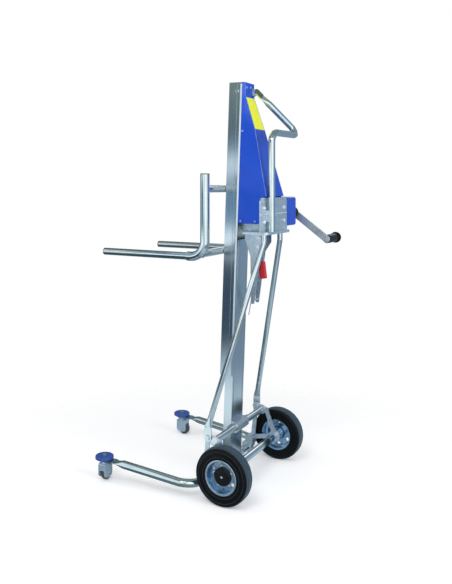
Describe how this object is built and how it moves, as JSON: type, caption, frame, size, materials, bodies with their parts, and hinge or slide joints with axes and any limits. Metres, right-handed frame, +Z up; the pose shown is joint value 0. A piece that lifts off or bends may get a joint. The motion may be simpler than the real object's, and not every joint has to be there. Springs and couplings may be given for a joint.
{
  "type": "manual stacker",
  "caption": "Hand-winch stacker: leaning mast on a wheeled frame with straddle legs, a lifting frame with two tubular forks, strap winch with crank and a push handle.",
  "frame": {"origin": "on the floor, under the middle of the outline", "axes": "+Z up, -Y forwards along the fork tubes, +X to the machine's left"},
  "size_m": [0.6716, 0.767, 1.4718],
  "materials": {
    "galvanised": "galvanised",
    "zinc_tube": "bright zinc",
    "steel": "zinc plated",
    "mast_aluminium": "anodised",
    "blue_paint": "gloss",
    "blue_plastic": "satin",
    "black_plastic": "matt",
    "caster_tread": "matt",
    "tyre": "matt",
    "webbing": "woven",
    "yellow_film": "satin",
    "red_plastic": "satin"
  },
  "bodies": {
    "frame": {"side_bracket_left": "galvanised", "side_bracket_right": "galvanised", "axle_tube": "galvanised", "cross_tube": "galvanised", "mast_saddle": "galvanised", "mast_foot": "galvanised", "leg_clamps": "galvanised", "winch_tray": "galvanised", "winch_frame": "galvanised", "handle_clip": "galvanised", "catch_bracket": "galvanised", "leg_tube": "zinc_tube", "brace_left": "zinc_tube", "brace_right": "zinc_tube", "handle_tube": "zinc_tube", "axle_rod": "steel", "frame_bolts": "steel", "winch_bolts": "steel", "pulley_pin": "steel", "catch_pins": "steel", "lever_spring": "steel", "caster_pins": "steel", "lower_mast": "mast_aluminium", "upper_mast": "mast_aluminium", "mast_cap": "mast_aluminium", "belt_cover": "blue_paint", "gear_housing": "blue_paint", "bumper_discs": "blue_plastic", "catch_block": "blue_plastic", "crank_bush": "black_plastic", "strap_rear": "webbing", "strap_front": "webbing"},
    "carriage": {"fork_tube_left": "zinc_tube", "fork_tube_right": "zinc_tube", "carriage_tubes": "zinc_tube", "carriage_bar": "steel", "carriage_glides": "black_plastic", "fork_plugs": "black_plastic"},
    "pulley": {"top_pulley": "black_plastic"},
    "winch_drum": {"drum": "steel", "drum_gear": "steel", "strap_coil": "webbing"},
    "crank": {"crank_shaft": "steel", "pinion": "steel", "crank_arm": "steel", "grip_pin": "steel"},
    "crank_grip": {"crank_sleeve": "steel", "crank_knob": "black_plastic"},
    "release": {"release_lever": "steel", "lever_grip": "red_plastic"},
    "wheel_left": {"rear_tyre_left": "tyre", "rear_rim_left": "galvanised", "hub_cap_left": "black_plastic"},
    "wheel_right": {"rear_tyre_right": "tyre", "rear_rim_right": "galvanised", "hub_cap_right": "black_plastic"},
    "caster_left": {"caster_fork_left": "galvanised"},
    "caster_right": {"caster_fork_right": "galvanised"},
    "caster_left_wheel": {"caster_wheel_left": "caster_tread"},
    "caster_right_wheel": {"caster_wheel_right": "caster_tread"}
  },
  "joints": [
    {"name": "carriage_lift", "type": "slide", "parent": "frame", "child": "carriage", "axis": [0, 0.0366, 0.9993], "range_m": [-0.38, 0.22], "deforming": ["strap_front"]},
    {"name": "pulley_spin", "type": "hinge", "parent": "frame", "child": "pulley", "pos_m": [0.02575, 0.11617, 1.43677], "axis": [1, 0, 0], "continuous": true},
    {"name": "drum_spin", "type": "hinge", "parent": "frame", "child": "winch_drum", "pos_m": [0.02575, 0.18647, 1.0084], "axis": [1, 0, 0], "continuous": true},
    {"name": "crank_spin", "type": "hinge", "parent": "frame", "child": "crank", "pos_m": [-0.20675, 0.2255, 0.986], "axis": [1, 0, 0], "continuous": true},
    {"name": "grip_spin", "type": "hinge", "parent": "crank", "child": "crank_grip", "pos_m": [-0.26675, 0.3615, 0.884], "axis": [1, 0, 0], "continuous": true},
    {"name": "release_pull", "type": "hinge", "parent": "frame", "child": "release", "pos_m": [0.02575, 0.1905, 0.865], "axis": [1, 0, 0], "range_deg": [0, 25], "stiffness_Nm_per_rad": 0.5, "springref_deg": -17.19},
    {"name": "wheel_left_roll", "type": "hinge", "parent": "frame", "child": "wheel_left", "pos_m": [0.26025, 0.1595, 0.1], "axis": [1, 0, 0], "continuous": true},
    {"name": "wheel_right_roll", "type": "hinge", "parent": "frame", "child": "wheel_right", "pos_m": [-0.20875, 0.1595, 0.1], "axis": [1, 0, 0], "continuous": true},
    {"name": "caster_left_swivel", "type": "hinge", "parent": "frame", "child": "caster_left", "pos_m": [0.30175, -0.3185, 0.06], "axis": [0, 0, 1], "continuous": true},
    {"name": "caster_right_swivel", "type": "hinge", "parent": "frame", "child": "caster_right", "pos_m": [-0.25025, -0.3185, 0.06], "axis": [0, 0, 1], "continuous": true},
    {"name": "caster_left_roll", "type": "hinge", "parent": "caster_left", "child": "caster_left_wheel", "pos_m": [0.28975, -0.3185, 0.025], "axis": [0, 1, 0], "continuous": true},
    {"name": "caster_right_roll", "type": "hinge", "parent": "caster_right", "child": "caster_right_wheel", "pos_m": [-0.25025, -0.3065, 0.025], "axis": [1, 0, 0], "continuous": true}
  ],
  "couplings": [
    {"joint": "pulley_spin", "follows": "carriage_lift", "rad_per_m": -43.384},
    {"joint": "drum_spin", "follows": "carriage_lift", "rad_per_m": -28.531},
    {"joint": "crank_spin", "follows": "carriage_lift", "rad_per_m": 78.459}
  ]
}
